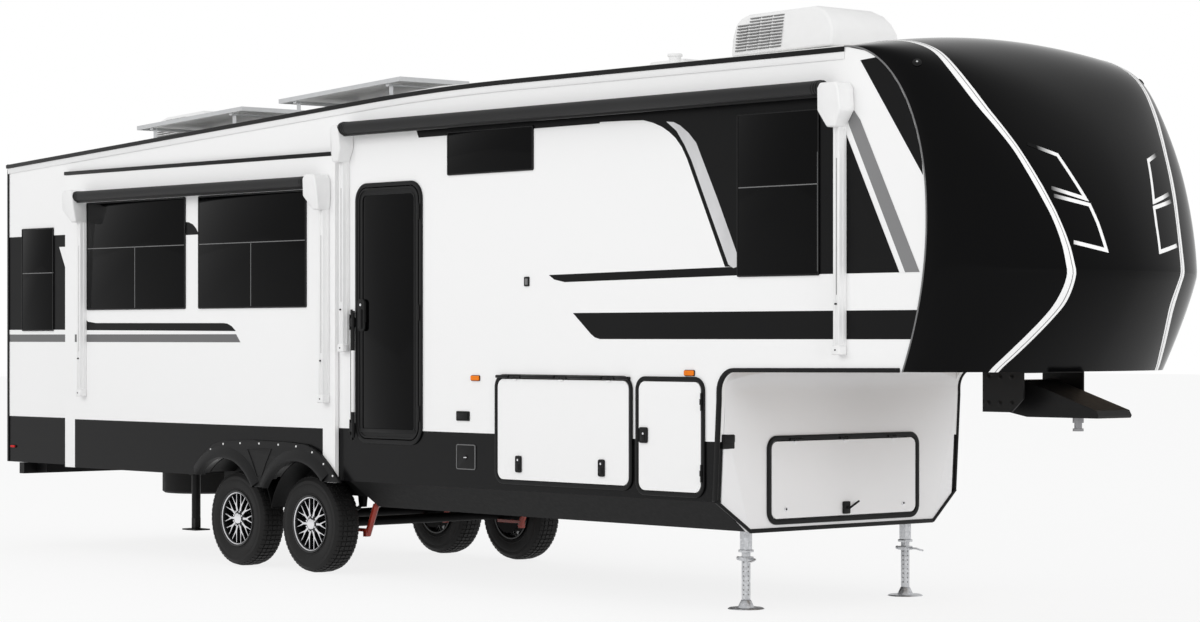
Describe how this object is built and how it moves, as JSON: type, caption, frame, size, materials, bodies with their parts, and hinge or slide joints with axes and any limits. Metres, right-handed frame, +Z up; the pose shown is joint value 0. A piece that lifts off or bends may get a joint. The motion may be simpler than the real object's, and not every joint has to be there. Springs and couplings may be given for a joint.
{
  "type": "fifth wheel travel trailer",
  "caption": "Long towed camper with a raised nose over a pin box, tandem wheels, two slide-out rooms, doors, awnings and landing legs.",
  "frame": {"origin": "on the ground under the middle of the body", "axes": "+X forward to the kingpin, +Y to the road side, +Z up; the entry door is on the -Y side"},
  "size_m": [11.9855, 2.737, 4.2074],
  "materials": {
    "white_skin": "smooth gloss",
    "grey_skin": "satin",
    "cap_black": "high gloss gel coat",
    "roof_membrane": "matt membrane",
    "black_frame": "satin powder coat",
    "black_plastic": "moulded",
    "dark_glass": "tinted",
    "white_plastic": "moulded",
    "galvanised": "zinc coated",
    "amber_lens": "clear lens",
    "red_lens": "clear lens",
    "red_paint": "gloss",
    "solar_cells": "glass over dark cells",
    "floor_board": "sealed board",
    "bare_steel": "machined",
    "alloy": "machined with dark pockets",
    "tyre": "rubber"
  },
  "bodies": {
    "trailer": {"chassis_rails": "black_frame", "belly_pan": "black_frame", "main_floor": "floor_board", "bay_floor": "floor_board", "bulkhead": "floor_board", "bedroom_deck": "floor_board", "wall_curb": "white_skin", "wall_road": "white_skin", "wall_rear": "white_skin", "roof_panel": "roof_membrane", "front_wall": "grey_skin", "nose_cap": "cap_black", "edge_trim": "black_plastic", "windows_curb": "dark_glass", "windows_road": "dark_glass", "window_rear": "dark_glass", "marker_lamps": "amber_lens", "tail_lamps": "red_lens", "awning_roller": "black_plastic", "awning_arms": "white_plastic", "roof_units": "white_plastic", "solar_panels": "solar_cells", "pin_box": "black_frame", "kingpin": "bare_steel", "landing_legs": "galvanised", "rear_jacks": "black_frame", "axles": "black_frame", "leaf_springs": "black_frame", "shocks": "red_paint", "bumper": "black_frame", "spare_wheel": "tyre", "hatches": "black_plastic", "door_frame": "black_plastic"},
    "slide_curb": {"slide_box_curb": "white_skin", "slide_windows_curb": "dark_glass", "slide_fender_curb": "black_plastic", "slide_awning": "white_plastic"},
    "slide_road": {"slide_box_road": "white_skin", "slide_windows_road": "dark_glass", "slide_fender_road": "black_plastic"},
    "entry_door": {"entry_door": "dark_glass"},
    "grab_handle": {"grab_handle": "black_plastic"},
    "baggage_door_large": {"baggage_door_large": "white_skin"},
    "baggage_door_small": {"baggage_door_small": "white_skin"},
    "generator_door": {"generator_door": "grey_skin"},
    "baggage_door_road": {"baggage_door_road": "white_skin"},
    "wheel_front_curb": {"tyre_front_curb": "tyre", "rim_front_curb": "alloy"},
    "wheel_rear_curb": {"tyre_rear_curb": "tyre", "rim_rear_curb": "alloy"},
    "wheel_front_road": {"tyre_front_road": "tyre", "rim_front_road": "alloy"},
    "wheel_rear_road": {"tyre_rear_road": "tyre", "rim_rear_road": "alloy"}
  },
  "joints": [
    {"name": "wheel_front_curb_spin", "type": "hinge", "parent": "trailer", "child": "wheel_front_curb", "pos_m": [-1.43, -1.0525, 0.391], "axis": [0, 1, 0], "continuous": true},
    {"name": "wheel_rear_curb_spin", "type": "hinge", "parent": "trailer", "child": "wheel_rear_curb", "pos_m": [-2.44, -1.0525, 0.391], "axis": [0, 1, 0], "continuous": true},
    {"name": "wheel_front_road_spin", "type": "hinge", "parent": "trailer", "child": "wheel_front_road", "pos_m": [-1.43, 1.0525, 0.391], "axis": [0, 1, 0], "continuous": true},
    {"name": "wheel_rear_road_spin", "type": "hinge", "parent": "trailer", "child": "wheel_rear_road", "pos_m": [-2.44, 1.0525, 0.391], "axis": [0, 1, 0], "continuous": true},
    {"name": "slide_curb_travel", "type": "slide", "parent": "trailer", "child": "slide_curb", "axis": [0, -1, 0], "range_m": [0, 0.82]},
    {"name": "slide_road_travel", "type": "slide", "parent": "trailer", "child": "slide_road", "axis": [0, 1, 0], "range_m": [0, 0.82]},
    {"name": "entry_door_hinge", "type": "hinge", "parent": "trailer", "child": "entry_door", "pos_m": [0.072, -1.24, 2.07], "axis": [0, 0, 1], "range_deg": [0, 165]},
    {"name": "grab_handle_hinge", "type": "hinge", "parent": "trailer", "child": "grab_handle", "pos_m": [-0.79, -1.24, 1.6], "axis": [0, 0, -1], "range_deg": [0, 90]},
    {"name": "baggage_door_large_hinge", "type": "hinge", "parent": "trailer", "child": "baggage_door_large", "pos_m": [1.713, -1.24, 1.59], "axis": [-1, 0, 0], "range_deg": [0, 150]},
    {"name": "baggage_door_small_hinge", "type": "hinge", "parent": "trailer", "child": "baggage_door_small", "pos_m": [3.176, -1.24, 1.195], "axis": [0, 0, 1], "range_deg": [0, 120]},
    {"name": "generator_door_hinge", "type": "hinge", "parent": "trailer", "child": "generator_door", "pos_m": [3.36, 0, 1.174], "axis": [0, -1, 0], "range_deg": [0, 110]},
    {"name": "baggage_door_road_hinge", "type": "hinge", "parent": "trailer", "child": "baggage_door_road", "pos_m": [1.713, 1.24, 1.59], "axis": [1, 0, 0], "range_deg": [0, 150]}
  ]
}
